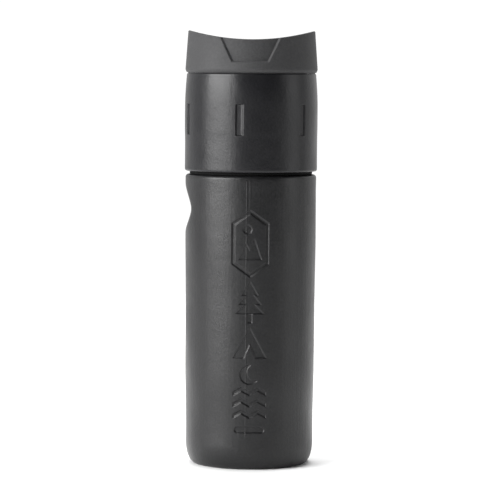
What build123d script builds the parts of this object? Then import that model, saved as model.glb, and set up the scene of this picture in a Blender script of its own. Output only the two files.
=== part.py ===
"""Screw-top canister that rides in a bicycle bottle cage and holds one bear spray can.

Millimetres. The origin is the middle of the base, +Z runs up to the cap and the
decorated front faces -Y. The cage notch is on the -X side.
"""

import os

from build123d import *

os.makedirs("parts", exist_ok=True)

# body
BASE_R = 36.5  # barrel that drops into the cage
BARREL_TOP = 32.0
WAIST_R = 37.0  # straight middle
WAIST_Z = (52.0, 98.0)
BODY_R = 37.4  # upper part
BODY_LOW = 126.0
BODY_WALL = 2.0
SHOULDER_Z = 165.8
SHOULDER_WALL = 2.2
SHOULDER_CORNER = 1.8
FLOOR_Z = 3.4
FOOT_R = 31.1  # flat ring the canister stands on ends here
CORNER_H = 13.0  # height of the rounded base corner

# notch that the cage tongue hooks into
NOTCH_Z = 146.3
NOTCH_H = 25.0
NOTCH_DEPTH = 3.6

# neck and quick thread, the same on the body and on the collar
NECK_R = 31.0
NECK_BORE = 29.4
NECK_H = 13.2
LIP = 0.5  # chamfer round the mouth
STARTS = 4
LEAD = 20.0  # rise in one turn
WIND = 110.0  # degrees that each ridge runs round
RIDGE_H = 1.1
RIDGE_BASE = 2.2
RIDGE_TIP = 1.0
ROOT_R = 32.5  # wall of the part that screws on
MALE_START = 4.4  # ridge centre above the foot of the neck
FEMALE_START = 3.7

# collar
COLLAR_Z = 167.65
COLLAR_TOP = 223.2
COLLAR_R = 37.8
COLLAR_MAX_R = 37.9
COLLAR_TOP_R = 36.95
COLLAR_CORNER = 0.8
COLLAR_RIM = 1.2  # rounded lower edge
GRIP_Z = (191.5, 205.0)  # fullest band
COLLAR_BORE = 35.8
WEB_H = 2.2
RING_FOOT_R = 35.0  # foot of the thread ring, which shows in the gap under the collar
RING_FOOT_Z = SHOULDER_Z + 0.15
SEAT_BORE = 29.6  # shelf of the thread ring over the seal
SEAT_WALL = 1.8
GROOVES = 6
GROOVE_ANGLE = -100.0  # first groove, degrees from +X
GROOVE_W = 4.2
GROOVE_DEPTH = 0.8
GROOVE_Z = (188.5, 205.9)

# cap
CAP_Z = 223.7
CAP_R = 37.75
CAP_TOP_R = 36.2
CAP_FOOT_H = 1.9  # rounded lower edge
CAP_RIM_Z = 246.8
CAP_VALLEY_Z = 242.3
ABOVE_CAP = 250.0
CAP_FOOT_R = 36.3  # inner foot, which closes most of the gap over the collar
CAP_FOOT_Z = COLLAR_TOP + 0.15
CAP_ARC_R = 128.0  # hollow top, bent about the Y direction
CAP_ROOF = 2.4
CORE_R = 34.2
CORE_ROOF = 1.5
RECESS_Z = 229.5
RECESS_DEPTH = 1.5
RECESS_TOP_W = 35.8
RECESS_LOW_W = 21.0

# seals and linings
SEAL_R = 32.2
SEAL_BORE = 28.8
SEAL_H = 1.4
SEAL_GAP = 0.05
LINER_R = 34.2
LINER_BORE = 27.3
LINER_Z = (8.6, 130.0)
PAD_R = 29.8
PAD_H = 5.0
CAP_PAD_R = 28.4
CAP_PAD_H = 4.5
HOOP_R = 35.0
HOOP_WALL = 1.2
HOOP_H = 23.5
FIN_R = 27.6
FIN_H = 17.0
FIN_W = 1.6

# signs pressed into the front
SIGN_DEPTH = 0.6
SIGN_Z = (11.0, 150.0)

CLEAR_R = 45.0  # well outside every wall, where a cutter may end

# ---------------------------------------------------------------- thread ridges
rise = LEAD * WIND / 360

with BuildPart() as male_ridge:
    with BuildLine() as male_path:
        Helix(LEAD, rise, NECK_R)
    with BuildSketch(Plane(male_path.line @ 0, x_dir=(1, 0, 0), z_dir=male_path.line % 0)):
        with BuildLine():
            Polyline(
                (-0.4, -RIDGE_BASE / 2),
                (0, -RIDGE_BASE / 2),
                (RIDGE_H, -RIDGE_TIP / 2),
                (RIDGE_H, RIDGE_TIP / 2),
                (0, RIDGE_BASE / 2),
                (-0.4, RIDGE_BASE / 2),
                close=True,
            )
        make_face()
    sweep(path=male_path.line, is_frenet=True)

with BuildPart() as female_ridge:
    with BuildLine() as female_path:
        Helix(LEAD, rise, ROOT_R)
    with BuildSketch(Plane(female_path.line @ 0, x_dir=(1, 0, 0), z_dir=female_path.line % 0)):
        with BuildLine():
            Polyline(
                (0.4, -RIDGE_BASE / 2),
                (0, -RIDGE_BASE / 2),
                (-RIDGE_H, -RIDGE_TIP / 2),
                (-RIDGE_H, RIDGE_TIP / 2),
                (0, RIDGE_BASE / 2),
                (0.4, RIDGE_BASE / 2),
                close=True,
            )
        make_face()
    sweep(path=female_path.line, is_frenet=True)

# the ridges inside sit half a pitch below the ridges outside
female_turn = (FEMALE_START - MALE_START + LEAD / STARTS / 2) * 360 / LEAD
male_thread = [
    Rot(0, 0, k * 360 / STARTS) * Pos(0, 0, MALE_START) * male_ridge.part for k in range(STARTS)
]
female_thread = [
    Rot(0, 0, k * 360 / STARTS + female_turn) * Pos(0, 0, FEMALE_START) * female_ridge.part
    for k in range(STARTS)
]

# ---------------------------------------------------------------- body
# room inside the bottle, with the back of the notch standing into it
with BuildPart() as body_room:
    with BuildSketch(Plane.XZ):
        with BuildLine():
            Polyline((0, SHOULDER_Z - SHOULDER_WALL), (0, FLOOR_Z), (PAD_R + 0.2, FLOOR_Z))
            EllipticalCenterArc(
                (PAD_R + 0.2, 8.6),
                BASE_R - BODY_WALL - PAD_R - 0.2,
                8.6 - FLOOR_Z,
                start_angle=270,
                arc_size=90,
            )
            Polyline(
                (BASE_R - BODY_WALL, 8.6),
                (BASE_R - BODY_WALL, BARREL_TOP),
                (WAIST_R - BODY_WALL, WAIST_Z[0]),
                (WAIST_R - BODY_WALL, WAIST_Z[1]),
                (BODY_R - BODY_WALL, BODY_LOW),
                (BODY_R - BODY_WALL, SHOULDER_Z - SHOULDER_WALL - 2),
                (BODY_R - BODY_WALL - 2, SHOULDER_Z - SHOULDER_WALL),
                (0, SHOULDER_Z - SHOULDER_WALL),
            )
        make_face()
    revolve()
    with BuildSketch(Plane.XZ):
        with BuildLine():
            Polyline(
                (-CLEAR_R, NOTCH_Z - NOTCH_H / 2 - 2),
                (BODY_WALL - BODY_R, NOTCH_Z - NOTCH_H / 2 - 2),
                (BODY_WALL + NOTCH_DEPTH - BODY_R, NOTCH_Z - 3),
                (BODY_WALL + NOTCH_DEPTH - BODY_R, NOTCH_Z + 3),
                (BODY_WALL - BODY_R, NOTCH_Z + NOTCH_H / 2 + 2),
                (-CLEAR_R, NOTCH_Z + NOTCH_H / 2 + 2),
                close=True,
            )
        make_face()
    extrude(amount=CLEAR_R, both=True, mode=Mode.SUBTRACT)
    with BuildSketch(Plane.XY.offset(SHOULDER_Z - SHOULDER_WALL)):
        Circle(NECK_BORE)
    extrude(amount=NECK_H + 4)

# signs: mountains and sun in a tall six-sided frame, then pine, tent, moon, waves and a bar
with BuildPart() as signs:
    with BuildSketch(Plane.XZ.offset(30)):
        with BuildLine():
            Polyline(
                (0, 109), (10.5, 116.5), (10.5, 139.5), (0, 147), (-10.5, 139.5), (-10.5, 116.5), close=True
            )
        make_face()
        with BuildLine():
            Polyline(
                (0, 111.4), (8.6, 117.6), (8.6, 138.4), (0, 144.6), (-8.6, 138.4), (-8.6, 117.6), close=True
            )
        make_face(mode=Mode.SUBTRACT)
        with BuildLine():
            Polyline((-6.6, 119), (-2.2, 128), (-0.4, 124.6), (2.4, 131), (6.6, 119), close=True)
        make_face()
        with Locations((-1.6, 136)):
            Circle(2.6)
        for step in range(3):
            low = 88.5 + 5.2 * step
            half = 8.2 - 1.7 * step
            with BuildLine():
                Polyline((-half, low), (half, low), (0, low + 8.4), close=True)
            make_face()
        with Locations((0, 86)):
            Rectangle(2.6, 5.4)
        with BuildLine():
            Polyline((-9.6, 63.5), (0, 81), (9.6, 63.5), (3.2, 63.5), (0, 71), (-3.2, 63.5), close=True)
        make_face()
        with Locations((0, 54.3)):
            Circle(5.6)
        with Locations((3.2, 55.7)):
            Circle(4.6, mode=Mode.SUBTRACT)
        for step in range(3):
            low = 29.5 + 6.4 * step
            with BuildLine():
                Polyline(
                    (-9.4, low),
                    (-4.7, low + 2.6),
                    (0, low),
                    (4.7, low + 2.6),
                    (9.4, low),
                    (9.4, low + 2.4),
                    (4.7, low + 5.0),
                    (0, low + 2.4),
                    (-4.7, low + 5.0),
                    (-9.4, low + 2.4),
                    close=True,
                )
            make_face()
        with Locations((0, 23)):
            SlotOverall(17, 3.6)
    extrude(amount=12)
    with BuildSketch(Plane.XZ):
        with BuildLine():
            Polyline(
                (BASE_R - SIGN_DEPTH, SIGN_Z[0]),
                (BASE_R - SIGN_DEPTH, BARREL_TOP),
                (WAIST_R - SIGN_DEPTH, WAIST_Z[0]),
                (WAIST_R - SIGN_DEPTH, WAIST_Z[1]),
                (BODY_R - SIGN_DEPTH, BODY_LOW),
                (BODY_R - SIGN_DEPTH, SIGN_Z[1]),
                (CLEAR_R, SIGN_Z[1]),
                (CLEAR_R, SIGN_Z[0]),
                close=True,
            )
        make_face()
    revolve(mode=Mode.INTERSECT)

with BuildPart() as body:
    with BuildSketch(Plane.XZ):
        with BuildLine():
            Polyline((0, SHOULDER_Z + NECK_H), (0, 1.2), (25, 1.2), (26, 0), (FOOT_R, 0))
            EllipticalCenterArc(
                (FOOT_R, CORNER_H), BASE_R - FOOT_R, CORNER_H, start_angle=270, arc_size=90
            )
            Polyline(
                (BASE_R, CORNER_H),
                (BASE_R, BARREL_TOP),
                (WAIST_R, WAIST_Z[0]),
                (WAIST_R, WAIST_Z[1]),
                (BODY_R, BODY_LOW),
                (BODY_R, SHOULDER_Z - SHOULDER_CORNER),
            )
            CenterArc(
                (BODY_R - SHOULDER_CORNER, SHOULDER_Z - SHOULDER_CORNER), SHOULDER_CORNER, 0, 90
            )
            Polyline(
                (BODY_R - SHOULDER_CORNER, SHOULDER_Z),
                (NECK_R, SHOULDER_Z),
                (NECK_R, SHOULDER_Z + NECK_H - LIP),
                (NECK_R - LIP, SHOULDER_Z + NECK_H),
                (0, SHOULDER_Z + NECK_H),
            )
        make_face()
    revolve()
    # straight channel across the side, with a rounded bottom
    with BuildSketch(Plane.XZ):
        with BuildLine():
            Polyline(
                (-CLEAR_R, NOTCH_Z - NOTCH_H / 2),
                (-BODY_R, NOTCH_Z - NOTCH_H / 2),
                (NOTCH_DEPTH - BODY_R, NOTCH_Z - 2),
                (NOTCH_DEPTH - BODY_R, NOTCH_Z + 2),
                (-BODY_R, NOTCH_Z + NOTCH_H / 2),
                (-CLEAR_R, NOTCH_Z + NOTCH_H / 2),
                close=True,
            )
        make_face()
    extrude(amount=CLEAR_R, both=True, mode=Mode.SUBTRACT)
    for ridge in male_thread:
        add(Pos(0, 0, SHOULDER_Z) * ridge)
    add(body_room.part, mode=Mode.SUBTRACT)
    add(signs.part, mode=Mode.SUBTRACT)
body.part.label = "body"
export_step(body.part, "parts/body.step")

# ---------------------------------------------------------------- linings in the body
with BuildPart() as base_pad:
    with BuildSketch(Plane.XY.offset(FLOOR_Z)):
        Circle(PAD_R)
    extrude(amount=PAD_H)
    chamfer(base_pad.edges().group_by(Axis.Z)[-1], 0.6)
base_pad.part.label = "base_pad"
export_step(base_pad.part, "parts/base_pad.step")

with BuildPart() as liner_sleeve:
    with BuildSketch(Plane.XY.offset(LINER_Z[0])):
        Circle(LINER_R)
        Circle(LINER_BORE, mode=Mode.SUBTRACT)
        # the rolled sheet meets itself at the back
        with Locations((0, 30)):
            Rectangle(1.2, 12, mode=Mode.SUBTRACT)
    extrude(amount=LINER_Z[1] - LINER_Z[0])
    chamfer(liner_sleeve.edges().group_by(Axis.Z)[-1].filter_by(GeomType.CIRCLE), 1.0)
liner_sleeve.part.label = "liner_sleeve"
export_step(liner_sleeve.part, "parts/liner_sleeve.step")

# ---------------------------------------------------------------- seals
neck_top = SHOULDER_Z + NECK_H
collar_neck_top = COLLAR_TOP + NECK_H

with BuildPart() as neck_gasket:
    with BuildSketch(Plane.XY.offset(neck_top + SEAL_GAP)):
        Circle(SEAL_R)
        Circle(SEAL_BORE, mode=Mode.SUBTRACT)
    extrude(amount=SEAL_H)
    fillet(neck_gasket.edges(), 0.3)
neck_gasket.part.label = "neck_gasket"
export_step(neck_gasket.part, "parts/neck_gasket.step")

with BuildPart() as cap_gasket:
    with BuildSketch(Plane.XY.offset(collar_neck_top + SEAL_GAP)):
        Circle(SEAL_R)
        Circle(SEAL_BORE, mode=Mode.SUBTRACT)
    extrude(amount=SEAL_H)
    fillet(cap_gasket.edges(), 0.3)
cap_gasket.part.label = "cap_gasket"
export_step(cap_gasket.part, "parts/cap_gasket.step")

# ---------------------------------------------------------------- collar
seat_z = neck_top + 2 * SEAL_GAP + SEAL_H

with BuildPart() as thread_ring:
    with BuildSketch(Plane.XZ):
        with BuildLine():
            Polyline(
                (ROOT_R + 0.6, RING_FOOT_Z),
                (RING_FOOT_R - 0.3, RING_FOOT_Z),
                (RING_FOOT_R, RING_FOOT_Z + 0.3),
                (RING_FOOT_R, COLLAR_Z + 0.5),
                (COLLAR_BORE, COLLAR_Z + 0.9),
                (COLLAR_BORE, seat_z + SEAT_WALL),
                (SEAT_BORE + 0.3, seat_z + SEAT_WALL),
                (SEAT_BORE, seat_z + SEAT_WALL - 0.3),
                (SEAT_BORE, seat_z),
                (ROOT_R, seat_z),
                (ROOT_R, RING_FOOT_Z + 0.6),
                close=True,
            )
        make_face()
    revolve()
    for ridge in female_thread:
        add(Pos(0, 0, SHOULDER_Z) * ridge)
thread_ring.part.label = "thread_ring"
export_step(thread_ring.part, "parts/thread_ring.step")

with BuildPart() as collar_shell:
    with BuildSketch(Plane.XZ):
        with BuildLine():
            Line((COLLAR_BORE, COLLAR_Z), (COLLAR_R - COLLAR_RIM, COLLAR_Z))
            CenterArc((COLLAR_R - COLLAR_RIM, COLLAR_Z + COLLAR_RIM), COLLAR_RIM, 270, 90)
            Polyline(
                (COLLAR_R, COLLAR_Z + COLLAR_RIM),
                (COLLAR_R, GRIP_Z[0] - 4.5),
                (COLLAR_MAX_R, GRIP_Z[0]),
                (COLLAR_MAX_R, GRIP_Z[1]),
            )
            Spline(
                (COLLAR_MAX_R, GRIP_Z[1]),
                (COLLAR_MAX_R - 0.15, GRIP_Z[1] + 6),
                (COLLAR_MAX_R - 0.45, GRIP_Z[1] + 11),
                (COLLAR_TOP_R, COLLAR_TOP - COLLAR_CORNER),
                tangents=((0, 1), (-0.08, 1)),
            )
            CenterArc(
                (COLLAR_TOP_R - COLLAR_CORNER, COLLAR_TOP - COLLAR_CORNER), COLLAR_CORNER, 0, 90
            )
            Polyline(
                (COLLAR_TOP_R - COLLAR_CORNER, COLLAR_TOP),
                (NECK_R, COLLAR_TOP),
                (NECK_R, COLLAR_TOP + NECK_H - LIP),
                (NECK_R - LIP, COLLAR_TOP + NECK_H),
                (NECK_BORE, COLLAR_TOP + NECK_H),
                (NECK_BORE, COLLAR_TOP - WEB_H),
                (COLLAR_BORE - 1.1, COLLAR_TOP - WEB_H),
                (COLLAR_BORE - 0.2, COLLAR_TOP - WEB_H - 4),
                (COLLAR_BORE, GRIP_Z[1] + 1.5),
                (COLLAR_BORE, COLLAR_Z),
            )
        make_face()
    revolve()
    # each pressed groove outside has its back standing in as a rib inside
    groove_mid = (GROOVE_Z[0] + GROOVE_Z[1]) / 2
    groove_len = GROOVE_Z[1] - GROOVE_Z[0]
    with PolarLocations(COLLAR_BORE, GROOVES, start_angle=GROOVE_ANGLE):
        with Locations((0.4, 0, groove_mid)):
            Box(2 * GROOVE_DEPTH + 0.8, GROOVE_W, groove_len)
    with PolarLocations(COLLAR_MAX_R, GROOVES, start_angle=GROOVE_ANGLE):
        with Locations((0, 0, groove_mid)):
            Box(2 * GROOVE_DEPTH, GROOVE_W, groove_len, mode=Mode.SUBTRACT)
    for ridge in male_thread:
        add(Pos(0, 0, COLLAR_TOP) * ridge)
collar_shell.part.label = "collar_shell"
export_step(collar_shell.part, "parts/collar_shell.step")

# soft ring whose fins hold the top of the can in the middle, on the thread ring's top
hoop_z = seat_z + SEAT_WALL + 0.05

with BuildPart() as centring_ring:
    with BuildSketch(Plane.XY.offset(hoop_z)):
        Circle(HOOP_R)
        Circle(HOOP_R - HOOP_WALL, mode=Mode.SUBTRACT)
    extrude(amount=HOOP_H)
    fin_out = HOOP_R - HOOP_WALL / 2
    with PolarLocations((fin_out + FIN_R) / 2, GROOVES, start_angle=GROOVE_ANGLE + 30):
        with Locations((0, 0, hoop_z + HOOP_H / 2)):
            Box(fin_out - FIN_R, FIN_W, FIN_H)
centring_ring.part.label = "centring_ring"
export_step(centring_ring.part, "parts/centring_ring.step")

# ---------------------------------------------------------------- cap
cap_seat_z = collar_neck_top + 2 * SEAL_GAP + SEAL_H

# hollow top and the room under it
with BuildPart() as cap_hollow:
    with BuildSketch(Plane.XZ):
        with Locations((0, CAP_VALLEY_Z + CAP_ARC_R)):
            Circle(CAP_ARC_R)
    extrude(amount=CLEAR_R, both=True)

with BuildPart() as cap_room:
    with BuildSketch(Plane.XZ):
        with BuildLine():
            Polyline(
                (0, CAP_Z - 1),
                (CORE_R, CAP_Z - 1),
                (CORE_R, cap_seat_z + CORE_ROOF),
                (CORE_R - 1, CAP_RIM_Z - 1.8),
                (CORE_R - 1, ABOVE_CAP),
                (0, ABOVE_CAP),
                close=True,
            )
        make_face()
    revolve()
    with BuildSketch(Plane.XZ):
        with Locations((0, CAP_VALLEY_Z + CAP_ARC_R)):
            Circle(CAP_ARC_R + CAP_ROOF)
    extrude(amount=CLEAR_R, both=True, mode=Mode.SUBTRACT)

# finger recess: a tapering window cut from the wall, its floor follows the wall
with BuildPart() as cap_recess:
    with BuildSketch(Plane.XZ):
        with BuildLine():
            Polyline(
                (-RECESS_LOW_W / 2, RECESS_Z),
                (RECESS_LOW_W / 2, RECESS_Z),
                (RECESS_TOP_W / 2, CAP_VALLEY_Z + 1.5),
                (RECESS_TOP_W / 2, ABOVE_CAP),
                (-RECESS_TOP_W / 2, ABOVE_CAP),
                (-RECESS_TOP_W / 2, CAP_VALLEY_Z + 1.5),
                close=True,
            )
        make_face()
    extrude(amount=CLEAR_R, both=True)
    with BuildSketch(Plane.XZ):
        with BuildLine():
            Polyline(
                (CAP_R - RECESS_DEPTH, CAP_Z + CAP_FOOT_H),
                (CAP_TOP_R - RECESS_DEPTH, CAP_RIM_Z),
                (CAP_TOP_R - RECESS_DEPTH, ABOVE_CAP),
                (CLEAR_R, ABOVE_CAP),
                (CLEAR_R, CAP_Z + CAP_FOOT_H),
                close=True,
            )
        make_face()
    revolve(mode=Mode.INTERSECT)

with BuildPart() as cap_shell:
    with BuildSketch(Plane.XZ):
        with BuildLine():
            Polyline(
                (0, CAP_FOOT_Z),
                (CAP_FOOT_R, CAP_FOOT_Z),
                (CAP_FOOT_R, CAP_Z),
                (CAP_R - 0.9, CAP_Z),
                (CAP_R - 0.25, CAP_Z + 0.7),
                (CAP_R, CAP_Z + CAP_FOOT_H),
                (CAP_TOP_R + 0.05, CAP_RIM_Z),
                (CAP_TOP_R - 0.7, ABOVE_CAP),
                (0, ABOVE_CAP),
                close=True,
            )
        make_face()
    revolve()
    add(cap_hollow.part, mode=Mode.SUBTRACT)
    add(cap_room.part, mode=Mode.SUBTRACT)
    add(cap_recess.part, mode=Mode.SUBTRACT)
cap_shell.part.label = "cap_shell"
export_step(cap_shell.part, "parts/cap_shell.step")

# threaded cup held inside the cap
with BuildPart() as cap_core:
    with BuildSketch(Plane.XZ):
        with BuildLine():
            Polyline(
                (ROOT_R + 0.5, CAP_Z + 0.6),
                (CORE_R, CAP_Z + 0.6),
                (CORE_R, cap_seat_z + CORE_ROOF),
                (0, cap_seat_z + CORE_ROOF),
                (0, cap_seat_z),
                (ROOT_R, cap_seat_z),
                (ROOT_R, CAP_Z + 1.1),
                close=True,
            )
        make_face()
    revolve()
    for ridge in female_thread:
        add(Pos(0, 0, COLLAR_TOP) * ridge)
cap_core.part.label = "cap_core"
export_step(cap_core.part, "parts/cap_core.step")

with BuildPart() as cap_pad:
    with BuildSketch(Plane.XY.offset(cap_seat_z - CAP_PAD_H)):
        Circle(CAP_PAD_R)
    extrude(amount=CAP_PAD_H)
    chamfer(cap_pad.edges().group_by(Axis.Z)[0], 0.6)
cap_pad.part.label = "cap_pad"
export_step(cap_pad.part, "parts/cap_pad.step")
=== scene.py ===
import bmesh
import bpy
import numpy as np
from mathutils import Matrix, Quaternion, Vector


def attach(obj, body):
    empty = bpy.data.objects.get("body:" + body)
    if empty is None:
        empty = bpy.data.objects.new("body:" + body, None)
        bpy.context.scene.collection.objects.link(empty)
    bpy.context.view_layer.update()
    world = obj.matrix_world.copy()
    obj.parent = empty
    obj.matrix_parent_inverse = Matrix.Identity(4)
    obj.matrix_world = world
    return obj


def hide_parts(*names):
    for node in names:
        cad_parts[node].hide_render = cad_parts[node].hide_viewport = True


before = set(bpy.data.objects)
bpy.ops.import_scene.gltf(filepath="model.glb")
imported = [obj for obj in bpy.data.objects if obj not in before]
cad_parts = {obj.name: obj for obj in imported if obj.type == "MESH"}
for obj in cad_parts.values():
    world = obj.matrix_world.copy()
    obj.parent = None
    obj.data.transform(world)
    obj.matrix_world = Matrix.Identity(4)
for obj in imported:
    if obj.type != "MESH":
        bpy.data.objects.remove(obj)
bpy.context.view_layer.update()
MM = 0.001

# ---------------------------------------------------------------------------
# Canister body: one blow-moulded polyethylene bottle. Its barrel drops into a
# bicycle bottle cage, a notch on the left takes the cage's tongue, plain signs
# are pressed into the front, and the neck carries the male quick thread.
# ---------------------------------------------------------------------------
BASE_R, WAIST_R, BODY_R = 36.5, 37.0, 37.4
WALL = 2.0
FLARE_LOW, FLARE_HIGH = (28.0, 54.0), (94.0, 130.0)
SHOULDER_Z, SHOULDER_CORNER, ROOF, ROOF_CORNER = 165.8, 1.8, 2.2, 2.2
FLOOR_Z, FOOT_R, CORNER_H = 3.4, 31.1, 13.0
NECK_R, NECK_BORE, NECK_H = 31.0, 29.4, 13.2
STARTS, LEAD, WIND = 4, 20.0, 110.5  # ridges, rise in one turn, degrees each ridge runs
RIDGE_H, RIDGE_FOOT = 1.08, 4.4
NOTCH_Z, NOTCH_HALF, NOTCH_DEPTH = 146.3, 12.5, 3.6
SIGN_DEPTH = 0.6
UNEVEN = 0.06  # how far the wall lies inside its size, on average
FRONT_LINE, SHORT_LINE, LINE_H = -3.3, -0.3, 0.14  # mould lines: degrees and height


def ease(low, high, value):
    """0 below low, 1 above high, and a smooth turn between them."""
    t = np.clip((value - low) / (high - low), 0.0, 1.0)
    return t * t * (3.0 - 2.0 * t)


def run(start, end, step):
    """Points from start up to, but not at, end."""
    length = np.hypot(end[0] - start[0], end[1] - start[1])
    count = max(1, int(round(length / step)))
    return [
        (start[0] + (end[0] - start[0]) * k / count, start[1] + (end[1] - start[1]) * k / count)
        for k in range(count)
    ]


def bend(centre, across, up, start, end, count):
    """Points round an elliptical corner, angles in degrees from outwards, both ends in."""
    angles = np.radians(np.linspace(start, end, count))
    return [(centre[0] + across * np.cos(a), centre[1] + up * np.sin(a)) for a in angles]


def moulded(name, radius, height, azimuth, ring=False):
    """A mesh turned about the axis. radius and height are millimetre grids with a row for each
    step along the section and a column for each azimuth; azimuth 0 is the front and 90 the right.
    With ring the section closes on itself, otherwise both its ends meet the axis."""
    rows, columns = radius.shape
    turn = np.radians(azimuth)
    place = np.stack((radius * np.sin(turn), -radius * np.cos(turn), height), axis=-1)
    points = (place * MM).reshape(-1, 3)
    along = np.arange(columns)
    after = (along + 1) % columns
    faces = []
    last = rows if ring else rows - 1
    for row in range(last):
        here, above = row * columns, (row + 1) % rows * columns
        faces.extend(zip(here + along, here + after, above + after, above + along))
    if not ring:
        points = np.vstack((points, [[0, 0, height[0, 0] * MM], [0, 0, height[-1, 0] * MM]]))
        low, high, top = rows * columns, rows * columns + 1, (rows - 1) * columns
        faces.extend((low, b, a) for a, b in zip(along, after))
        faces.extend((top + a, top + b, high) for a, b in zip(along, after))
    mesh = bpy.data.meshes.new(name)
    mesh.from_pydata(points.tolist(), [], [tuple(int(k) for k in f) for f in faces])
    mesh.shade_smooth()
    piece = bpy.data.objects.new(name, mesh)
    bpy.context.scene.collection.objects.link(piece)
    return piece


def thread_height(azimuth, above_neck_foot):
    """How far the ridges of the male thread stand out: 5 mm apart, right-handed."""
    total = np.zeros(np.broadcast(azimuth, above_neck_foot).shape)
    for start in range(STARTS):
        wound = (azimuth - 90.0 - 360.0 / STARTS * start) % 360.0
        middle = RIDGE_FOOT + LEAD * wound / 360.0
        flank = np.clip((1.1 - np.abs(above_neck_foot - middle)) / 0.6, 0.0, 1.0)
        ends = ease(-0.5, 3.0, wound) * (1.0 - ease(WIND - 3.5, WIND, wound))
        total = np.maximum(total, RIDGE_H * flank * ends)
    return total


def barrel_radius(z):
    """Outer wall: straight cage band, small flare, straight waist, gentle flare, straight top."""
    r = BASE_R + (WAIST_R - BASE_R) * ease(*FLARE_LOW, z)
    return r + (BODY_R - WAIST_R) * ease(*FLARE_HIGH, z)


def notch_depth(z):
    """How deep the notch is at height z, negative past its ends; its floor is rounded."""
    tip = 3.0
    rise = NOTCH_DEPTH / (np.hypot(NOTCH_HALF, tip) - tip)
    return NOTCH_DEPTH - rise * (np.hypot(z - NOTCH_Z, tip) - tip)


def cut_notch(radius, azimuth, z, inward=0.0):
    """Flattens the wall on the left to the channel's floor, with softly rounded edges."""
    side = -np.sin(np.radians(azimuth))
    flat = (BODY_R - inward - notch_depth(z)) / np.maximum(side, 0.2)
    soft = 0.9
    mix = np.clip(0.5 + 0.5 * (flat - radius) / soft, 0.0, 1.0)
    merged = flat + (radius - flat) * mix - soft * mix * (1.0 - mix)
    near = (side > 0.5) & (np.abs(z - NOTCH_Z) < 20.0)
    return np.where(near, np.minimum(radius, merged), radius)


def to_outline(x, z, corners):
    """Distance from each point to a closed outline, negative inside."""
    best = np.full(x.shape, 1e9)
    inside = np.zeros(x.shape, bool)
    for (ax, az), (bx, bz) in zip(corners, corners[1:] + corners[:1]):
        ex, ez = bx - ax, bz - az
        along = np.clip(((x - ax) * ex + (z - az) * ez) / (ex * ex + ez * ez), 0.0, 1.0)
        best = np.minimum(best, np.hypot(x - ax - ex * along, z - az - ez * along))
        crosses = (az > z) != (bz > z)
        inside ^= crosses & (x < ax + (z - az) * ex / (ez if ez else 1e-9))
    return np.where(inside, -best, best)


def to_signs(x, z):
    """Distance to the nearest pressed sign: mountains and sun in a six-sided frame, pine, tent,
    moon, waves and a bar."""
    frame_out = [(0, 109), (10.5, 116.5), (10.5, 139.5), (0, 147), (-10.5, 139.5), (-10.5, 116.5)]
    frame_in = [(0, 111.4), (8.6, 117.6), (8.6, 138.4), (0, 144.6), (-8.6, 138.4), (-8.6, 117.6)]
    near = np.maximum(to_outline(x, z, frame_out), -to_outline(x, z, frame_in))
    peaks = [(-6.6, 119), (-2.2, 128), (-0.4, 124.6), (2.4, 131), (6.6, 119)]
    near = np.minimum(near, to_outline(x, z, peaks))
    near = np.minimum(near, np.hypot(x + 1.6, z - 136) - 2.6)
    for step in range(3):
        low, half = 88.5 + 5.2 * step, 8.2 - 1.7 * step
        near = np.minimum(near, to_outline(x, z, [(-half, low), (half, low), (0, low + 8.4)]))
    trunk = [(-1.3, 83.3), (1.3, 83.3), (1.3, 88.7), (-1.3, 88.7)]
    near = np.minimum(near, to_outline(x, z, trunk))
    tent = [(-9.6, 63.5), (0, 81), (9.6, 63.5), (3.2, 63.5), (0, 71), (-3.2, 63.5)]
    near = np.minimum(near, to_outline(x, z, tent))
    moon = np.maximum(np.hypot(x, z - 54.3) - 5.6, 4.6 - np.hypot(x - 3.2, z - 55.7))
    near = np.minimum(near, moon)
    for step in range(3):
        low = 29.5 + 6.4 * step
        under = [(-9.4, 0), (-4.7, 2.6), (0, 0), (4.7, 2.6), (9.4, 0)]
        over = [(a, b + 2.4) for a, b in reversed(under)]
        near = np.minimum(near, to_outline(x, z, [(a, low + b) for a, b in under + over]))
    bar = np.hypot(np.maximum(np.abs(x) - 6.7, 0.0), z - 23.0) - 1.8
    return np.minimum(near, bar)


def outer_wall(azimuth, z):
    """Finished outer wall of the barrel: notch, mould lines, signs and slight unevenness."""
    r = barrel_radius(z)
    turn = np.radians(azimuth)
    uneven = 0.05 * np.sin(3 * turn + 0.031 * z) + 0.035 * np.sin(5 * turn - 0.07 * z + 1.7)
    uneven = uneven + 0.02 * np.sin(11 * turn + 0.11 * z + 0.4)
    fade = ease(10.0, 22.0, z) * (1.0 - ease(156.0, 163.0, z))
    r = r + (uneven - UNEVEN) * fade
    lines = [(FRONT_LINE, 0.42, (1.0, 8.0)), (FRONT_LINE + 180.0, 0.42, (1.0, 8.0))]
    for middle, half, starts in lines + [(SHORT_LINE, 0.5, (146.0, 152.0))]:
        off = (azimuth - middle + 180.0) % 360.0 - 180.0
        r = r + LINE_H * np.exp(-((off / half) ** 2)) * ease(*starts, z)
    r = cut_notch(r, azimuth, z)
    across = r * np.sin(turn)
    front = np.cos(turn) > 0.8
    pressed = 1.0 - ease(-0.42, 0.12, to_signs(across, z))
    return r - SIGN_DEPTH * pressed * front


def wall_columns(front_half, front_step, other_step):
    """Azimuths all the way round, close together across the front."""
    front = np.arange(-front_half, front_half + 1e-6, front_step)
    count = int(round((360.0 - 2 * front_half) / other_step))
    rest = np.linspace(front_half, 360.0 - front_half, count + 1)[1:-1]
    return np.concatenate((front, rest))


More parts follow.
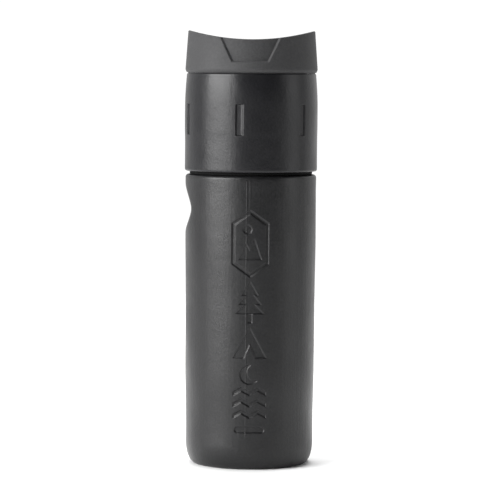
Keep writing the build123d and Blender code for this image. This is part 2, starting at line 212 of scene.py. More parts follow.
def neck_steps(foot):
    """Section of a threaded neck from its foot, up over its lip and down to its bore."""
    top = foot + NECK_H
    root = bend((NECK_R + 0.8, foot + 0.8), 0.8, 0.8, 270, 180, 5)
    threaded = run((NECK_R, foot + 1.1), (NECK_R, top - 0.6), 0.33)
    lip = bend((NECK_R - 0.5, top - 0.5), 0.5, 0.5, 0, 90, 5)
    lip += bend((NECK_BORE + 0.4, top - 0.4), 0.4, 0.4, 90, 180, 4)
    return root, threaded, lip + run((NECK_BORE, top - 1.0), (NECK_BORE, foot - 1.5), 4.0)


def spread(path, azimuth):
    """Radius and height grids for a section turned to each azimuth, and the azimuth grid."""
    section = np.array(path)
    radius = np.repeat(section[:, :1], len(azimuth), axis=1)
    height = np.repeat(section[:, 1:], len(azimuth), axis=1)
    return radius, height, np.broadcast_to(azimuth, radius.shape)


base = run((0.5, 1.2), (24.7, 1.2), 6.0) + bend((25.0, 0.6), 0.9, 0.6, 90, 35, 3)
base += bend((26.9, 0.5), 0.9, 0.5, 215, 270, 4) + run((27.6, 0.0), (FOOT_R, 0.0), 1.2)
base += bend((FOOT_R, CORNER_H), BASE_R - FOOT_R, CORNER_H, 270, 360, 20)
barrel = run((BASE_R, CORNER_H + 1.15), (BASE_R, SHOULDER_Z - 2.0), 1.15)
corner = (BODY_R - SHOULDER_CORNER, SHOULDER_Z - SHOULDER_CORNER)
shoulder = bend(corner, SHOULDER_CORNER, SHOULDER_CORNER, 0, 90, 9)
shoulder += run((BODY_R - 2.4, SHOULDER_Z), (NECK_R + 0.9, SHOULDER_Z), 1.0)
root, threaded, lip = neck_steps(SHOULDER_Z)
roof = bend((NECK_BORE + 1.0, SHOULDER_Z - 1.2), 1.0, 1.0, 180, 270, 5)
corner = (BODY_R - WALL - ROOF_CORNER, SHOULDER_Z - ROOF - ROOF_CORNER)
roof += bend(corner, ROOF_CORNER, ROOF_CORNER, 90, 0, 7)
lining = run((BASE_R - WALL, SHOULDER_Z - 6.0), (BASE_R - WALL, 9.0), 2.2)
bottom = bend((30.0, 8.6), BASE_R - WALL - 30.0, 5.2, 0, -90, 9)
bottom += run((29.0, FLOOR_Z), (0.5, FLOOR_Z), 6.0) + [(0.5, FLOOR_Z)]

parts = [base, barrel, shoulder + root, threaded, lip + roof, lining, bottom]
ends = np.cumsum([len(part) for part in parts])
on_barrel, on_neck = slice(ends[0], ends[1]), slice(ends[2], ends[3])
on_lining = slice(ends[4], ends[5])
PANEL_HALF, PANEL_LOW, PANEL_HIGH = 17.7, 18.5, 163.0  # degrees and heights of the signs
azimuth = wall_columns(PANEL_HALF, PANEL_HALF / 12, 2.25)
radius, height, around = spread(sum(parts, []), azimuth)
radius[on_barrel] = outer_wall(around[on_barrel], height[on_barrel])
radius[on_neck] += thread_height(around[on_neck], height[on_neck] - SHOULDER_Z)
inner_r = barrel_radius(height[on_lining]) - WALL
radius[on_lining] = cut_notch(inner_r, around[on_lining], height[on_lining], inward=WALL)
body = moulded("canister_body", radius, height, azimuth)

# the panel of signs is cut four times finer, then its points go back on the wall
mould = bmesh.new()
mould.from_mesh(body.data)
panel_edges = set()
for face in mould.faces:
    place = face.calc_center_median() / MM
    turn = np.degrees(np.arctan2(place.x, -place.y))
    outside = np.hypot(place.x, place.y) > barrel_radius(place.z) - 1.3
    if outside and abs(turn) < PANEL_HALF and PANEL_LOW < place.z < PANEL_HIGH:
        panel_edges.update(face.edges)
bmesh.ops.subdivide_edges(mould, edges=list(panel_edges), cuts=3, use_grid_fill=True)
points = np.array([v.co for v in mould.verts]) / MM
turns = np.degrees(np.arctan2(points[:, 0], -points[:, 1]))
outside = np.hypot(points[:, 0], points[:, 1]) > barrel_radius(points[:, 2]) - 1.3
moved = outside & (np.abs(turns) < PANEL_HALF + 0.8)
moved &= (points[:, 2] > PANEL_LOW - 4.5) & (points[:, 2] < PANEL_HIGH + 0.5)
mould.verts.ensure_lookup_table()
for k, r in zip(np.flatnonzero(moved), outer_wall(turns[moved], points[moved, 2])):
    turn = np.radians(turns[k])
    mould.verts[k].co = (r * np.sin(turn) * MM, -r * np.cos(turn) * MM, points[k, 2] * MM)
mould.to_mesh(body.data)
mould.free()
body.data.shade_smooth()


def link(material, *wires):
    """Joins sockets, each wire a (from node, from socket, to node, to socket)."""
    for out_node, out_socket, in_node, in_socket in wires:
        material.node_tree.links.new(out_node.outputs[out_socket], in_node.inputs[in_socket])


def noise(material, place, scale, detail, stretch=(1, 1, 1)):
    """A noise texture fixed to the piece; scale is in features per metre."""
    nodes = material.node_tree.nodes
    squeeze = nodes.new("ShaderNodeMapping")
    squeeze.inputs["Scale"].default_value = stretch
    texture = nodes.new("ShaderNodeTexNoise")
    texture.inputs["Scale"].default_value = scale
    texture.inputs["Detail"].default_value = detail
    link(material, (place, "Object", squeeze, "Vector"), (squeeze, "Vector", texture, "Vector"))
    return texture


def band(material, source, socket, low, high, out_low, out_high):
    """Maps source from low..high to out_low..out_high, and stops at both ends."""
    step = material.node_tree.nodes.new("ShaderNodeMapRange")
    step.inputs["From Min"].default_value = low
    step.inputs["From Max"].default_value = high
    step.inputs["To Min"].default_value = out_low
    step.inputs["To Max"].default_value = out_high
    link(material, (source, socket, step, "Value"))
    return step


def relief(material, shader, heights):
    """Chains bumps on the shader's normal; heights is a list of (texture, metres)."""
    before = None
    for texture, depth in heights:
        bump = material.node_tree.nodes.new("ShaderNodeBump")
        bump.inputs["Distance"].default_value = depth
        bump.inputs["Strength"].default_value = 1.0
        link(material, (texture, 0, bump, "Height"))
        if before:
            link(material, (before, "Normal", bump, "Normal"))
        before = bump
    link(material, (before, "Normal", shader, "Normal"))


def begin(name):
    """A new material, its nodes, its shader and the piece's own coordinates."""
    material = bpy.data.materials.new(name)
    material.use_nodes = True
    nodes = material.node_tree.nodes
    return material, nodes, nodes["Principled BSDF"], nodes.new("ShaderNodeTexCoord")


def colour(material, shader, source, socket, dark, pale):
    """Colours the shader from dark, where the source is 0, to pale, where it is 1."""
    tint = material.node_tree.nodes.new("ShaderNodeMix")
    tint.data_type = "RGBA"
    tint.inputs["A"].default_value = (*dark, 1)
    tint.inputs["B"].default_value = (*pale, 1)
    link(material, (source, socket, tint, "Factor"), (tint, "Result", shader, "Base Color"))


def black_moulding(name, dark, pale, rough, grain, peel, streak):
    """Black moulded plastic. dark is its grey and pale the grey of its random specks and of a
    painted highlight on its sharp outward edges, rough the range of its gloss, and grain, peel and
    streak the depths in metres of its three kinds of surface relief."""
    material, nodes, shader, place = begin(name)
    fine = noise(material, place, 850.0, 4.0)
    broad = noise(material, place, 170.0, 2.0)
    drawn = noise(material, place, 620.0, 2.0, stretch=(1, 1, 0.06))
    handled = noise(material, place, 38.0, 4.0)
    gloss = band(material, handled, "Fac", 0.35, 0.68, rough[0], rough[1])
    # painted highlight: sharp outward edges are coloured paler, up to 0.6 of the way from dark to
    # pale
    edge_shape = nodes.new("ShaderNodeNewGeometry")
    edge = band(material, edge_shape, "Pointiness", 0.52, 0.60, 0.0, 0.6)
    speck = band(material, fine, "Fac", 0.35, 0.75, 0.0, 0.35)
    specks_and_edge_highlight = nodes.new("ShaderNodeMath")
    specks_and_edge_highlight.operation = "MAXIMUM"
    link(material, (edge, "Result", specks_and_edge_highlight, 0), (speck, "Result", specks_and_edge_highlight, 1))
    colour(material, shader, specks_and_edge_highlight, 0, dark, pale)
    link(material, (gloss, "Result", shader, "Roughness"))
    relief(material, shader, [(broad, peel), (drawn, streak), (fine, grain)])
    shader.inputs["IOR"].default_value = 1.5
    shader.inputs["Specular IOR Level"].default_value = 0.35
    return material


body_plastic = black_moulding(
    "blow_moulded_black",
    dark=(0.006, 0.006, 0.0065),
    pale=(0.020, 0.020, 0.021),
    rough=(0.31, 0.43),
    grain=0.00007,
    peel=0.00012,
    streak=0.00007,
)
body.data.materials.append(body_plastic)
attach(body, "canister")
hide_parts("body")

# ---------------------------------------------------------------------------
# Base pad: a die-cut disc of closed-cell foam on the floor of the body, stuck
# down so that the can stands softly.
# ---------------------------------------------------------------------------
PAD_R, PAD_Z = 29.8, (3.4, 8.4)


def foam_disc(name, disc_r, low, high, soft_up):
    """A cut foam disc: crisp lower rim, edges that give a little, a slight crown on its face."""
    path = run((0.5, low), (disc_r - 0.5, low), 3.0)
    path += bend((disc_r - 0.5, low + 0.5), 0.5, 0.5, 270, 360, 5)
    path += run((disc_r, low + 0.8), (disc_r, high - 1.4), 0.8)
    path += bend((disc_r - 1.2, high - 1.2), 1.2, 1.2, 0, 90, 7)
    path += run((disc_r - 2.0, high), (0.5, high), 1.6) + [(0.5, high)]
    azimuth = np.arange(0.0, 360.0, 3.0)
    radius, height, around = spread(path, azimuth)
    turn = np.radians(around)
    waist = 0.12 * np.sin((height - low) / (high - low) * np.pi)
    radius = radius - (waist + 0.05 * np.sin(7 * turn) ** 2) * (radius > disc_r - 1.5)
    middle = (low + high) / 2
    dimple = 0.10 * np.sin(0.55 * radius + 2 * turn) * np.sin(0.4 * radius - 3 * turn)
    sunk = np.clip(height - middle, 0.0, None) / (high - middle)
    height = height - sunk * (0.22 * (radius / disc_r) ** 3 + 0.1 + dimple)
    if not soft_up:
        height = low + high - height
        radius, height = radius[::-1], height[::-1]
    return moulded(name, radius, height, azimuth)


def closed_cell_foam(name, dark, pale):
    """Charcoal closed-cell foam: packed cells of two sizes, dull, with a soft bloom at the edge."""
    material, nodes, shader, place = begin(name)
    cells = nodes.new("ShaderNodeTexVoronoi")
    cells.inputs["Scale"].default_value = 1100.0
    pores = nodes.new("ShaderNodeTexVoronoi")
    pores.inputs["Scale"].default_value = 420.0
    cloud = noise(material, place, 60.0, 3.0)
    shade = band(material, cells, "Distance", 0.1, 0.7, 0.0, 1.0)
    link(material, (place, "Object", cells, "Vector"), (place, "Object", pores, "Vector"))
    colour(material, shader, shade, "Result", dark, pale)
    dull = band(material, cloud, "Fac", 0.3, 0.7, 0.82, 0.95)
    link(material, (dull, "Result", shader, "Roughness"))
    relief(material, shader, [(cloud, 0.0002), (pores, 0.0002), (cells, 0.00012)])
    shader.inputs["Sheen Weight"].default_value = 0.25
    return material


foam = closed_cell_foam("charcoal_foam", (0.035, 0.035, 0.037), (0.085, 0.085, 0.09))
base_pad = foam_disc("base_foam_pad", PAD_R, PAD_Z[0], PAD_Z[1], soft_up=True)
base_pad.data.materials.append(foam)
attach(base_pad, "canister")
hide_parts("base_pad")

# ---------------------------------------------------------------------------
# Liner sleeve: a sheet of the same foam rolled into a tube that springs out
# against the wall and holds the can; its two edges meet at the back.
# ---------------------------------------------------------------------------
SLEEVE_R, SLEEVE_BORE, SLEEVE_Z = 34.2, 27.3, (8.6, 130.0)
SEAM_HALF = 1.1  # degrees of gap each side of the join
ROUND = 150  # points from one edge of the sheet to the other

spot = np.arange(ROUND)
turns = np.radians(np.linspace(180.0 + SEAM_HALF, 540.0 - SEAM_HALF, ROUND))
tall = SLEEVE_Z[1] - SLEEVE_Z[0]
steps = np.concatenate(([0.0, 0.15, 0.45, 1.0], np.linspace(3.0, tall - 3.0, 40)))
steps = np.concatenate((steps, tall - np.array([1.0, 0.45, 0.15, 0.0])))
sleeve_points = []
for step in steps:
    edge = min(step, tall - step, 1.0)
    tuck = 1.0 - np.sqrt(1.0 - (1.0 - edge) ** 2)
    ripple = 0.10 * np.sin(5 * turns + 0.05 * step) + 0.06 * np.sin(9 * turns - 0.09 * step)
    at_seam = np.exp(-((spot / 2.2) ** 2)) + np.exp(-((spot[::-1] / 2.2) ** 2))
    pinch = tuck + 0.45 * at_seam
    outer_r = SLEEVE_R - 0.12 - pinch + ripple * 0.5
    inner_r = SLEEVE_BORE + 0.18 + pinch + ripple
    lift = 0.25 * np.sin(4 * turns + 0.6) * (step / tall) ** 8 - 0.3 * (step / tall) ** 8
    z = SLEEVE_Z[0] + step + lift
    for r in (outer_r, inner_r):
        sleeve_points.append(np.stack((r * np.sin(turns), -r * np.cos(turns), z), axis=-1))
grid = np.arange(len(steps) * 2 * ROUND).reshape(len(steps), 2, ROUND)
sleeve_faces = []
for low, high in zip(grid[:-1], grid[1:]):
    for k in range(ROUND - 1):
        sleeve_faces.append((low[0, k], low[0, k + 1], high[0, k + 1], high[0, k]))
        sleeve_faces.append((low[1, k + 1], low[1, k], high[1, k], high[1, k + 1]))
    sleeve_faces.append((low[1, 0], low[0, 0], high[0, 0], high[1, 0]))
    sleeve_faces.append((low[0, -1], low[1, -1], high[1, -1], high[0, -1]))
for k in range(ROUND - 1):
    sleeve_faces.append((grid[0, 1, k], grid[0, 1, k + 1], grid[0, 0, k + 1], grid[0, 0, k]))
    sleeve_faces.append((grid[-1, 0, k], grid[-1, 0, k + 1], grid[-1, 1, k + 1], grid[-1, 1, k]))
mesh = bpy.data.meshes.new("foam_liner_sleeve")
points = np.concatenate(sleeve_points) * MM
mesh.from_pydata(points.tolist(), [], [tuple(int(k) for k in face) for face in sleeve_faces])
mesh.shade_smooth()
mesh.materials.append(foam)
sleeve = bpy.data.objects.new("foam_liner_sleeve", mesh)
bpy.context.scene.collection.objects.link(sleeve)
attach(sleeve, "canister")
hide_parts("liner_sleeve")

# ---------------------------------------------------------------------------
# Seals: two flat rings of black rubber, one on each neck, each held captive in
# the part that screws down on it.
# ---------------------------------------------------------------------------


def seal_rubber(name, dark, pale, rough):
    """Black moulded rubber: faint bloom, dull shine, fine pitted skin."""
    material, _, shader, place = begin(name)
    skin = noise(material, place, 1800.0, 2.0)
    bloom = noise(material, place, 140.0, 5.0)
    shade = band(material, bloom, "Fac", 0.4, 0.75, 0.0, 1.0)
    colour(material, shader, shade, "Result", dark, pale)
    dull = band(material, bloom, "Fac", 0.3, 0.7, rough, rough + 0.14)
    link(material, (dull, "Result", shader, "Roughness"))
    relief(material, shader, [(bloom, 0.00005), (skin, 0.00002)])
    return material


def finish_with(node, material):
    """Gives a CAD node its finish."""
    node.data.materials.clear()
    node.data.materials.append(material)


rubber = seal_rubber("black_seal_rubber", (0.018, 0.018, 0.018), (0.045, 0.045, 0.044), 0.5)
for name in ("neck_gasket", "cap_gasket"):
    finish_with(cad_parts[name], rubber)

# ---------------------------------------------------------------------------
# Collar: an injection-moulded polypropylene sleeve, a little wider than the
# body, with six short upright grooves for grip. A neck like the body's stands
# on its rounded top.
# ---------------------------------------------------------------------------
COLLAR_Z, COLLAR_TOP = 167.65, 223.2
COLLAR_R, COLLAR_MAX_R, BROW_R, COLLAR_BORE = 37.8, 37.9, 36.95, 35.8
COLLAR_FOOT, COLLAR_CORNER, WEB_H = 1.2, 0.8, 2.2
SHOULDER_START, SHOULDER_TALL, SHOULDER_DROP = 205.0, 17.0, 0.95
GROOVES, GROOVE_FIRST = 6, -10.0
GROOVE_LOW, GROOVE_HIGH, GROOVE_DEPTH = 188.5, 205.9, 0.8


def collar_radius(z):
    """Outer wall of the collar: straight, a slightly fuller grip band, then a shoulder."""
    r = COLLAR_R + (COLLAR_MAX_R - COLLAR_R) * ease(186.0, 192.0, z)
    climbed = np.clip(z - SHOULDER_START, 0.0, None) / SHOULDER_TALL
    return r - SHOULDER_DROP * climbed**1.8


def groove_share(azimuth, z, widen=0.0):
    """1 in a grip groove and 0 outside: the left side is steep and the right side slopes."""
    step = 360.0 / GROOVES
    off = (azimuth - GROOVE_FIRST + step / 2) % step - step / 2
    across = np.radians(off) * COLLAR_MAX_R
    share = ease(-2.25 - widen, -1.95, across) * (1.0 - ease(0.9, 2.3 + widen, across))
    ends = ease(GROOVE_LOW - 0.2, GROOVE_LOW + 0.2, z)
    return share * ends * (1.0 - ease(GROOVE_HIGH - 0.2, GROOVE_HIGH + 0.2, z))


steep_side = [-3.0, -2.5, -2.25, -2.15, -2.05, -1.95, -1.5]
sloping_side = [0.0, 0.9, 1.25, 1.6, 1.95, 2.3, 3.0]
groove_marks = np.degrees(np.array(steep_side + sloping_side) / COLLAR_MAX_R)
even = np.arange(-30.0, 30.0, 2.25)
even = even[np.abs(even) > 5.2]
one_groove = np.sort(np.concatenate((groove_marks, even)))
azimuth = np.concatenate([GROOVE_FIRST + 60.0 * k + one_groove for k in range(GROOVES)])

rim = run((COLLAR_BORE + 0.35, COLLAR_Z), (COLLAR_R - COLLAR_FOOT, COLLAR_Z), 0.5)
corner = (COLLAR_R - COLLAR_FOOT, COLLAR_Z + COLLAR_FOOT)
rim += bend(corner, COLLAR_FOOT, COLLAR_FOOT, 270, 360, 7)
grip = run((COLLAR_R, COLLAR_Z + 2.0), (COLLAR_R, GROOVE_LOW - 0.4), 1.1)
for end in (GROOVE_LOW, GROOVE_HIGH):
    grip += [(COLLAR_R, end + k) for k in (-0.3, -0.2, -0.1, 0.0, 0.1, 0.2, 0.3)]
    if end == GROOVE_LOW:
        grip += run((COLLAR_R, end + 1.2), (COLLAR_R, GROOVE_HIGH - 0.8), 1.1)
grip += run((COLLAR_R, GROOVE_HIGH + 1.2), (COLLAR_R, COLLAR_TOP - 1.0), 0.9)
corner = (BROW_R - COLLAR_CORNER, COLLAR_TOP - COLLAR_CORNER)
brow = bend(corner, COLLAR_CORNER, COLLAR_CORNER, 8, 90, 8)
brow += run((corner[0] - 0.55, COLLAR_TOP), (NECK_R + 0.9, COLLAR_TOP), 1.0)
root, threaded, lip = neck_steps(COLLAR_TOP)
lip = lip[:-1] + [(NECK_BORE, COLLAR_TOP - WEB_H + 0.3), (NECK_BORE + 0.3, COLLAR_TOP - WEB_H)]
web = run((NECK_BORE + 1.2, COLLAR_TOP - WEB_H), (34.5, COLLAR_TOP - WEB_H), 1.2)
web += bend((34.4, COLLAR_TOP - WEB_H - 1.2), 1.1, 1.2, 90, 0, 5)
bore = run((COLLAR_BORE, 217.0), (COLLAR_BORE, GROOVE_HIGH + 0.4), 2.4)
bore += [(COLLAR_BORE, GROOVE_HIGH + k) for k in (0.3, 0.1, -0.1, -0.3)]
bore += run((COLLAR_BORE, GROOVE_HIGH - 1.0), (COLLAR_BORE, GROOVE_LOW + 0.6), 2.4)
bore += [(COLLAR_BORE, GROOVE_LOW + k) for k in (0.3, 0.1, -0.1, -0.3)]
bore += run((COLLAR_BORE, GROOVE_LOW - 1.0), (COLLAR_BORE, COLLAR_Z + 0.5), 2.4)
bore += [(COLLAR_BORE + 0.1, COLLAR_Z + 0.12)]

parts = [rim, grip, brow + root, threaded, lip + web, bore]
ends = np.cumsum([len(part) for part in parts])
on_grip, on_neck = slice(ends[0], ends[1]), slice(ends[2], ends[3])
on_bore = slice(ends[4], ends[5])
radius, height, around = spread(sum(parts, []), azimuth)
sunk = GROOVE_DEPTH * groove_share(around, height)
radius[on_grip] = collar_radius(height[on_grip]) - sunk[on_grip]
radius[on_grip] += 0.02 * np.sin(4 * np.radians(around[on_grip]) + 0.2 * height[on_grip])
radius[on_neck] += thread_height(around[on_neck], height[on_neck] - COLLAR_TOP)
narrowing = 0.028 * (height[on_bore] - SHOULDER_START - 1.5).clip(0, None)
inner = np.minimum(radius[on_bore], COLLAR_BORE - narrowing)
radius[on_bore] = inner - GROOVE_DEPTH * groove_share(around[on_bore], height[on_bore], widen=0.3)
collar = moulded("threaded_collar", radius, height, azimuth, ring=True)
collar_plastic = black_moulding(
    "collar_black",
    dark=(0.005, 0.005, 0.006),
    pale=(0.016, 0.016, 0.018),
    rough=(0.30, 0.42),
    grain=0.00007,
    peel=0.00012,
    streak=0.00003,
)
collar.data.materials.append(collar_plastic)
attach(collar, "collar")
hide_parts("collar_shell")

# ---------------------------------------------------------------------------
# Thread ring and centring ring: a moulded ring bonded in the foot of the collar
# carries the female thread, and a soft finned ring above it steadies the can.
# ---------------------------------------------------------------------------


def plain_moulding(name, grey, rough, grain):
    """Plain black moulding for the inside parts: fine grain and faint flow marks."""
    material, _, shader, place = begin(name)
    fine = noise(material, place, 1900.0, 2.0)
    flow = noise(material, place, 90.0, 3.0, stretch=(1, 1, 0.3))
    dark, pale = (grey, grey, grey * 1.03), (grey * 1.6, grey * 1.6, grey * 1.65)
    colour(material, shader, flow, "Fac", dark, pale)
    shine = band(material, flow, "Fac", 0.3, 0.7, rough, rough + 0.1)
    link(material, (shine, "Result", shader, "Roughness"))
    relief(material, shader, [(flow, 0.00006), (fine, grain)])
    return material


inner_plastic = plain_moulding("inner_black", 0.026, 0.42, 0.00002)
soft_rubber = seal_rubber("soft_fin_rubber", (0.024, 0.024, 0.025), (0.05, 0.05, 0.05), 0.55)
# The thread ring is black plastic, but it is coloured near-black and given little shine so that the
# gap between collar and body shows as painted shade
ring_black_painted_shade = plain_moulding("ring_black_with_painted_shade", 0.003, 0.75, 0.00002)
ring_black_painted_shade.node_tree.nodes["Principled BSDF"].inputs["Specular IOR Level"].default_value = 0.1
finish_with(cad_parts["thread_ring"], ring_black_painted_shade)
finish_with(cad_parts["cap_core"], inner_plastic)
finish_with(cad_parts["centring_ring"], soft_rubber)

# ---------------------------------------------------------------------------
# Cap: a matt injection-moulded shell with a saddle-shaped hollow top and a
# tapering thumb recess front and back, pressed over its threaded core.
# ---------------------------------------------------------------------------
CAP_Z, CAP_TAPER_Z, CAP_RIM_Z = 223.7, 225.6, 246.8
CAP_R, CAP_TOP_R = 37.75, 36.25
CAP_ROUND, CAP_TUCK = 2.1, 0.95  # height and depth of the rounded lower edge
CAP_FOOT_R, CAP_FOOT_Z = 36.3, 223.23
SADDLE_Z, SADDLE_R, CAP_ROOF = 242.3, 128.0, 2.4
CORE_R, CORE_TOP = 34.2, 239.4
ROOM_R, ROOM_TOP = 33.15, 245.0  # the room over the core is narrower
RECESS_Z, RECESS_DEPTH, RECESS_LOW_HALF, RECESS_TOP_HALF = 229.5, 1.5, 10.5, 17.9
RECESS_TURN = -1.2  # degrees that the recess stands off the middle
CAP_CORNER = 0.7


def saddle(x, below=0.0):
    """Height of the hollow top over a point x across the cap."""
    return SADDLE_Z + SADDLE_R - np.sqrt((SADDLE_R + below) ** 2 - x**2)


def recess_share(azimuth, z):
    """1 in a thumb recess, 0 outside, with sloping sides and foot."""
    x = np.abs(CAP_R * np.sin(np.radians(azimuth - RECESS_TURN)))
    climb = (RECESS_TOP_HALF - RECESS_LOW_HALF) / (SADDLE_Z + 1.5 - RECESS_Z)
    side = (RECESS_LOW_HALF + climb * (z - RECESS_Z) - x) / np.hypot(1.0, climb)
    foot = z - RECESS_Z
    soft = 0.5
    mix = np.clip(0.5 + 0.5 * (side - foot) / soft, 0.0, 1.0)
    inside = side + (foot - side) * mix - soft * mix * (1.0 - mix)
    return ease(-0.1, 0.55, inside)


def cap_wall(azimuth, z):
    """Outer wall of the cap: tapers up, rounded at the foot, recesses front and back."""
    r = CAP_R + (CAP_TOP_R - CAP_R) * (z - CAP_TAPER_Z) / (CAP_RIM_Z - CAP_TAPER_Z)
    r = r - CAP_TUCK * (np.clip(CAP_Z + CAP_ROUND - z, 0.0, None) / CAP_ROUND) ** 1.7
    return r - RECESS_DEPTH * recess_share(azimuth, z)


across_edge = np.arange(14.5, 30.6, 0.35)
fine_sides = [side + RECESS_TURN + across_edge for side in (0.0, 180.0)]
fine_sides += [side + RECESS_TURN - across_edge for side in (0.0, 180.0)]
plain_sides = [side + np.arange(-13.5, 13.6, 1.8) for side in (0.0, 180.0)]
plain_sides += [side + np.arange(-58.0, 58.1, 2.0) for side in (90.0, 270.0)]
azimuth = np.unique(np.round(np.concatenate(fine_sides + plain_sides) % 360.0, 3))
gaps = np.diff(azimuth, append=azimuth[0] + 360.0)
azimuth = azimuth[gaps > 0.2]

# the wall and the top are worked out row by row, because the rim rises and falls
turn = np.radians(azimuth)
wall_top_z = np.full(len(azimuth), CAP_RIM_Z)
for _ in range(6):
    edge_r = cap_wall(azimuth, wall_top_z)
    wall_top_z = saddle(edge_r * np.sin(turn))
section_r, section_z = [], []


def add_row(r, z):
    """One more turn of points along the cap's section, from the roof inside to the top outside."""
    section_r.append(r + np.zeros(len(azimuth)))
    section_z.append(z + np.zeros(len(azimuth)))


for r in 33.0 * np.linspace(0.02, 1.0, 12):
    add_row(r, saddle(r * np.sin(turn), below=CAP_ROOF))
roof_edge_z = section_z[-1]
for share in np.linspace(0.12, 1.0, 8):
    z = roof_edge_z + (CORE_TOP - roof_edge_z) * share
    widening = np.clip((ROOM_TOP - z) / (ROOM_TOP - CORE_TOP), 0.0, 1.0)
    add_row(ROOM_R + (CORE_R - ROOM_R) * widening, z)
for z in np.arange(CORE_TOP - 1.5, CAP_Z + 0.6, -1.8):
    add_row(CORE_R, z)
foot = run((CORE_R, CAP_Z), (CORE_R, CAP_FOOT_Z), 0.2)
foot += run((CORE_R, CAP_FOOT_Z), (CAP_FOOT_R - 0.3, CAP_FOOT_Z), 0.6)
foot += bend((CAP_FOOT_R - 0.2, CAP_FOOT_Z + 0.2), 0.2, 0.2, 270, 360, 4)
for r, z in foot:
    add_row(r, z)
for share in (0.0, 0.5, 1.0):
    add_row(CAP_FOOT_R + 0.02 + share * 0.3, CAP_Z)
for share in np.concatenate((np.linspace(0.008, 0.12, 8), np.linspace(0.14, 1.0, 58))):
    z = CAP_Z + share * (wall_top_z - CAP_CORNER - CAP_Z)
    add_row(cap_wall(azimuth, z), z)
rim_r = cap_wall(azimuth, wall_top_z - CAP_CORNER)
for angle in np.radians([15, 30, 45, 60, 75, 90]):
    tuck, drop = CAP_CORNER * (1.0 - np.cos(angle)), CAP_CORNER * (1.0 - np.sin(angle))
    add_row(rim_r - tuck, wall_top_z - drop)
edge_r, edge_z = section_r[-1], section_z[-1]
slip = edge_z - saddle(edge_r * np.sin(turn))
for share in np.concatenate((np.linspace(0.985, 0.88, 6), np.linspace(0.82, 0.02, 22))):
    settle = max(0.0, 1.0 - (1.0 - share) / 0.05)
    add_row(edge_r * share, saddle(edge_r * share * np.sin(turn)) + slip * settle)
cap = moulded("saddle_cap", np.array(section_r), np.array(section_z), azimuth)
cap_plastic = black_moulding(
    "cap_black",
    dark=(0.026, 0.026, 0.027),
    pale=(0.056, 0.056, 0.058),
    rough=(0.60, 0.72),
    grain=0.00004,
    peel=0.00005,
    streak=0.0,
)
cap.data.materials.append(cap_plastic)
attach(cap, "cap")
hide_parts("cap_shell")

# ---------------------------------------------------------------------------
# Cap pad: a die-cut foam disc stuck under the core, which bears on the can's
# trigger and stops it rattling.
# ---------------------------------------------------------------------------
CAP_PAD_R, CAP_PAD_Z = 28.4, (233.4, 237.9)
cap_pad = foam_disc("cap_foam_pad", CAP_PAD_R, CAP_PAD_Z[0], CAP_PAD_Z[1], soft_up=False)
cap_pad.data.materials.append(foam)
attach(cap_pad, "cap")
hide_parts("cap_pad")

# ---------------------------------------------------------------------------
# Studio: a plain pale floor, a room that is bright only behind the canister, so
# that both its sides get a pale rim, a big soft light front left, a weaker one
# on the right, and one overhead that whitens the floor.
# ---------------------------------------------------------------------------
FLOOR_HALF, FLOOR_POINTS = 1.2, 24
ROOM_FRONT, ROOM_BACK = 0.03, 0.9
mesh = bpy.data.meshes.new("pale_floor")
side = np.linspace(-FLOOR_HALF, FLOOR_HALF, FLOOR_POINTS)
corners = [(x, y, 0.0) for y in side for x in side]
spots = np.arange(FLOOR_POINTS**2).reshape(FLOOR_POINTS, FLOOR_POINTS)
tiles = np.stack((spots[:-1, :-1], spots[:-1, 1:], spots[1:, 1:], spots[1:, :-1]), axis=-1)
tiles = tiles.reshape(-1, 4).tolist()
mesh.from_pydata(corners, [], tiles)
floor = bpy.data.objects.new("pale_floor", mesh)
bpy.context.scene.collection.objects.link(floor)
paper, _, sheet, place = begin("white_paper")
sheet.inputs["Base Color"].default_value = (0.9, 0.9, 0.9, 1)
felt = noise(paper, place, 700.0, 2.0)
matt = band(paper, felt, "Fac", 0.3, 0.7, 0.85, 0.95)
link(paper, (matt, "Result", sheet, "Roughness"))
relief(paper, sheet, [(felt, 0.00003)])
floor.data.materials.append(paper)

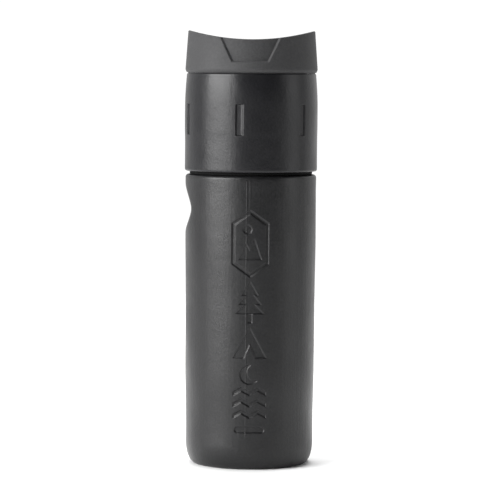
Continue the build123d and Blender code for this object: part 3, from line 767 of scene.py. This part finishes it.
room = bpy.data.worlds.new("pale_room")
bpy.context.scene.world = room
room.use_nodes = True
wires = room.node_tree
lit = wires.nodes["Background"]
lit.inputs["Color"].default_value = (1, 1, 1, 1)
seen = wires.nodes.new("ShaderNodeBackground")
seen.inputs["Color"].default_value = (1, 1, 1, 1)
seen.inputs["Strength"].default_value = 1.05
place = wires.nodes.new("ShaderNodeTexCoord")
axes = wires.nodes.new("ShaderNodeSeparateXYZ")
wires.links.new(place.outputs["Generated"], axes.inputs[0])
depth = wires.nodes.new("ShaderNodeMapRange")
depth.interpolation_type = "SMOOTHSTEP"
depth.inputs["From Min"].default_value = -0.15
depth.inputs["From Max"].default_value = 0.55
depth.inputs["To Min"].default_value = ROOM_FRONT
depth.inputs["To Max"].default_value = ROOM_BACK
wires.links.new(axes.outputs["Y"], depth.inputs["Value"])
wires.links.new(depth.outputs["Result"], lit.inputs["Strength"])
rays = wires.nodes.new("ShaderNodeLightPath")
choose = wires.nodes.new("ShaderNodeMixShader")
wires.links.new(rays.outputs["Is Camera Ray"], choose.inputs["Fac"])
wires.links.new(lit.outputs[0], choose.inputs[1])
wires.links.new(seen.outputs[0], choose.inputs[2])
wires.links.new(choose.outputs[0], wires.nodes["World Output"].inputs["Surface"])


def soft_light(name, place, aim, width, height, watts):
    """A rectangular studio light at place, facing aim."""
    light = bpy.data.lights.new(name, "AREA")
    light.shape = "RECTANGLE"
    light.size, light.size_y = width, height
    light.energy = watts
    lamp = bpy.data.objects.new(name, light)
    lamp.location = place
    facing = Vector(aim) - Vector(place)
    lamp.rotation_mode = "QUATERNION"
    lamp.rotation_quaternion = facing.to_track_quat("-Z", "Y")
    bpy.context.scene.collection.objects.link(lamp)


middle = (0.0, 0.0, 0.13)
soft_light("front_left_softbox", (-1.23, -0.77, 0.64), middle, 1.3, 1.1, 50)
soft_light("right_softbox", (1.4, -0.35, 0.45), middle, 0.7, 1.2, 5)
soft_light("overhead", (0.0, 0.45, 1.6), (0.0, 0.45, 0.0), 1.0, 1.3, 29)

camera_data = bpy.data.cameras.new("studio_camera")
camera_data.sensor_width = 36.0
camera_data.lens = 196.3
camera = bpy.data.objects.new("studio_camera", camera_data)
TILT_DOWN, ROLL = np.radians(3.69), np.radians(0.4)
camera.location = (-0.0002, -1.560, 0.2228)
facing = Vector((0.0, np.cos(TILT_DOWN), -np.sin(TILT_DOWN)))
camera.rotation_mode = "QUATERNION"
camera.rotation_quaternion = facing.to_track_quat("-Z", "Y") @ Quaternion((0, 0, 1), ROLL)
bpy.context.scene.collection.objects.link(camera)
bpy.context.scene.camera = camera
bpy.context.scene.view_settings.view_transform = "Standard"
